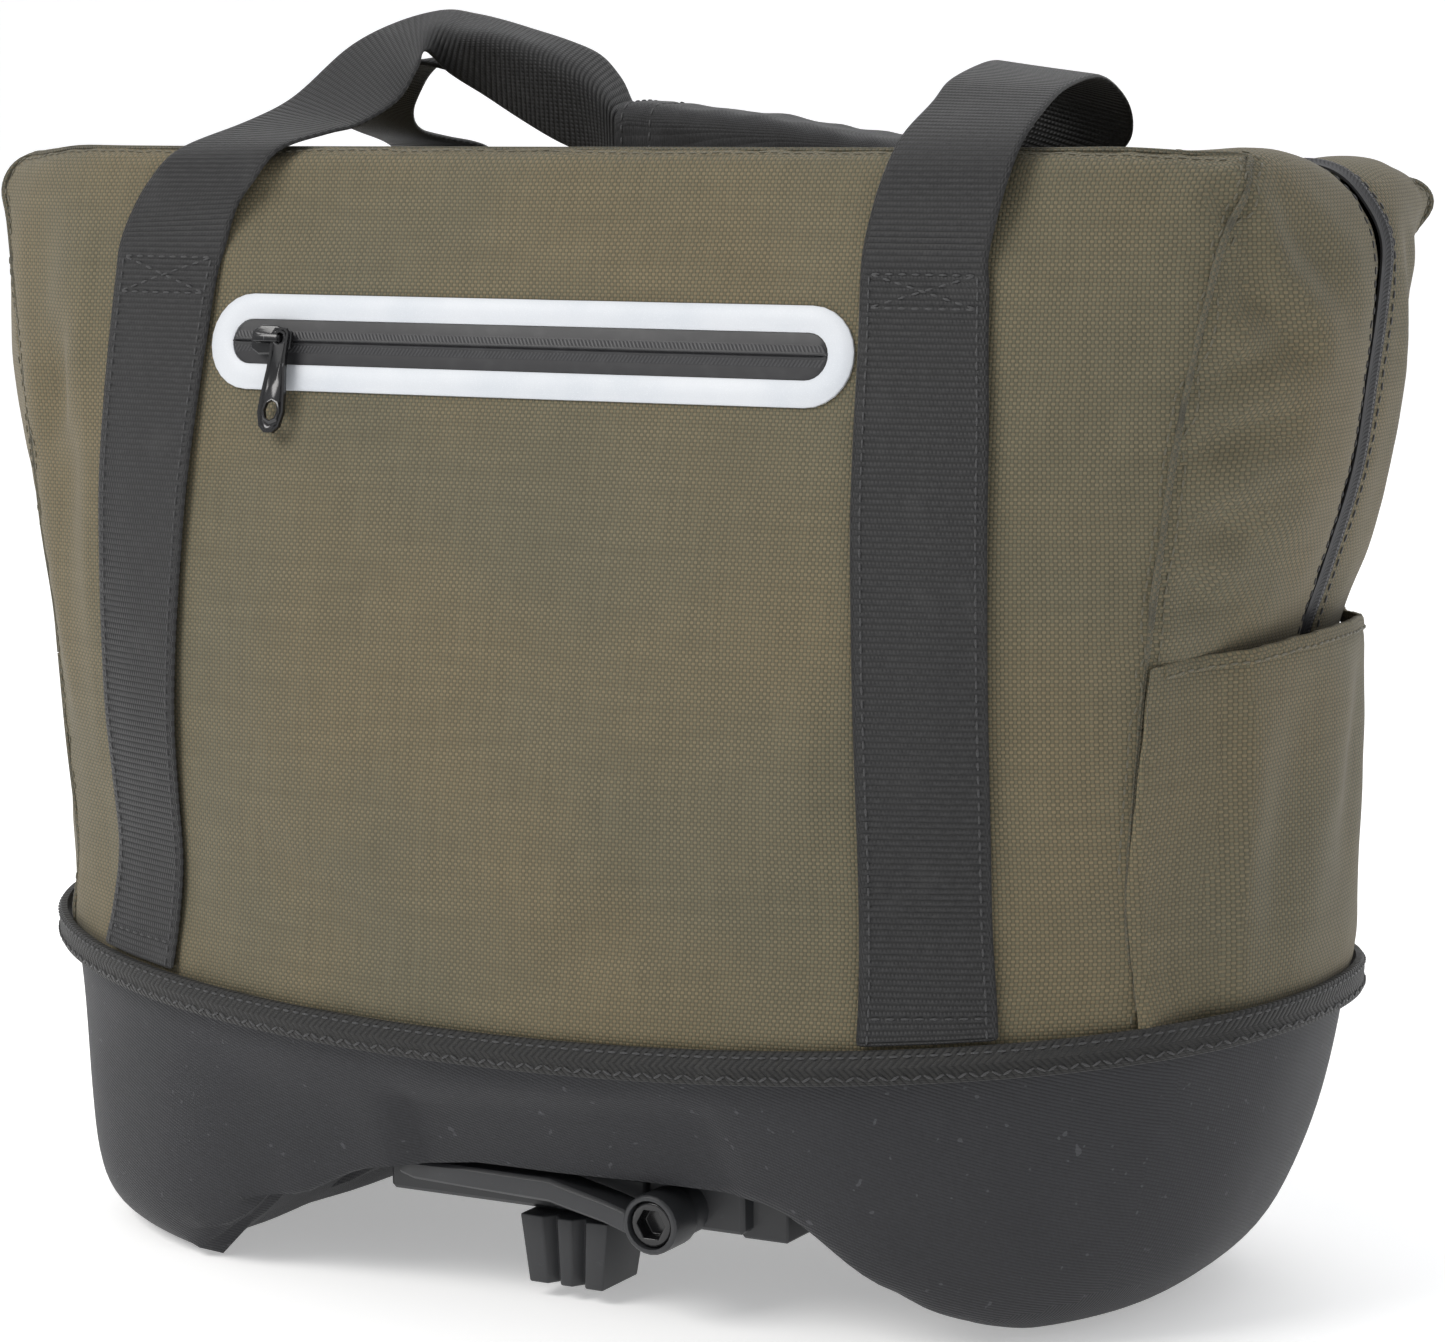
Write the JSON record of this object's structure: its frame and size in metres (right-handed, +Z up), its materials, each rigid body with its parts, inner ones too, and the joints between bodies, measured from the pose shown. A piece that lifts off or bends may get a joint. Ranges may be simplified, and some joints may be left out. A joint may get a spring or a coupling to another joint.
{
  "type": "bicycle trunk bag",
  "caption": "Soft bag for a bicycle rack with a moulded foam base on two lobes, a zip over the top, end pockets and a gathered webbing handle.",
  "frame": {"origin": "middle of the bag at the level of the ground under its two lobes", "axes": "+X along the bag, +Y across it to the back, +Z up"},
  "size_m": [0.4376, 0.2472, 0.368],
  "materials": {
    "olive_cloth": "woven olive polyester, matt",
    "foam_skin": "moulded foam laminated with fine dark weave",
    "black_webbing": "ribbed black webbing",
    "trim_tape": "black twill tape",
    "reflective": "silver reflective film",
    "zip_tape": "coated dark grey zip tape",
    "black_metal": "gloss black coated metal",
    "black_plastic": "satin black moulded plastic",
    "grip_cloth": "soft black padded cloth"
  },
  "bodies": {
    "bag": {"base_shell": "foam_skin", "trim_binding": "trim_tape", "front_panel": "olive_cloth", "back_panel": "olive_cloth", "zip_gusset_front": "olive_cloth", "zip_gusset_back": "olive_cloth", "main_zip_tape": "zip_tape", "main_zip_slider": "black_metal", "end_panel_right": "olive_cloth", "end_panel_left": "olive_cloth", "end_pocket_right": "olive_cloth", "end_pocket_left": "olive_cloth", "front_handle_webbing": "black_webbing", "rear_handle_webbing": "black_webbing", "handle_grip": "grip_cloth", "reflective_zip_frame": "reflective", "pocket_zip_tape": "zip_tape", "pocket_zip_slider": "black_metal", "adapter_housing": "black_plastic", "adapter_tongue": "black_plastic", "pivot_bolt": "black_metal"},
    "lever": {"release_lever": "black_plastic"},
    "pocket_pull": {"pocket_zip_pull": "black_metal"},
    "main_pull": {"main_zip_pull": "black_metal"}
  },
  "joints": [
    {"name": "lever_turn", "type": "hinge", "parent": "bag", "child": "lever", "pos_m": [0.0415, -0.0905, 0.031], "axis": [0, -1, 0], "range_deg": [0, 18]},
    {"name": "pocket_pull_swing", "type": "hinge", "parent": "bag", "child": "pocket_pull", "pos_m": [-0.07682, -0.09241, 0.27401], "axis": [-0.0081, -0.9658, 0.2592], "range_deg": [-50, 50]},
    {"name": "main_pull_swing", "type": "hinge", "parent": "bag", "child": "main_pull", "pos_m": [-0.21144, 0, 0.23622], "axis": [-0.9856, 0, -0.1693], "range_deg": [-50, 50]}
  ]
}
